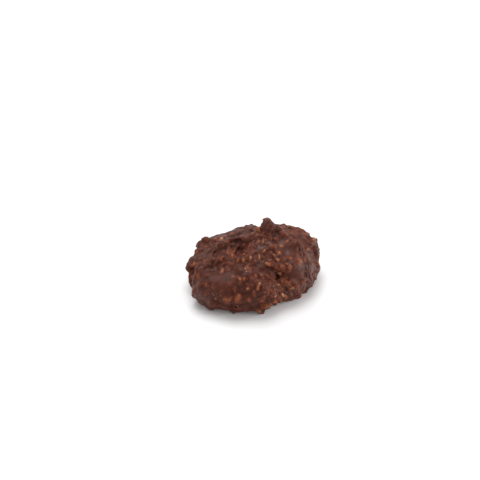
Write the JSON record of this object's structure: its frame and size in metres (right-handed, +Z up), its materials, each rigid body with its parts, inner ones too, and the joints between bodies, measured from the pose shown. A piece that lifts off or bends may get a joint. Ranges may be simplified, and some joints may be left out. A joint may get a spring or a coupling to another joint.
{
  "type": "chocolate coconut cluster",
  "caption": "A lumpy mound of toasted coconut shreds bound in chocolate, with a rough crest, a small peak and a flat underside.",
  "frame": {"origin": "on the surface that the cluster rests on, under the middle of its bounding box", "axes": "+X along its longer side, +Z up, and -Y towards the side that slumps forward"},
  "size_m": [0.041, 0.0346, 0.0208],
  "materials": {
    "chocolate": "set dark milk chocolate with a soft satin sheen, redder and lighter where it is thin over a shred",
    "toasted_coconut": "bare ends and flecks of toasted coconut, golden brown to ivory"
  },
  "bodies": {
    "root": {"coconut_cluster": "chocolate"}
  },
  "joints": []
}
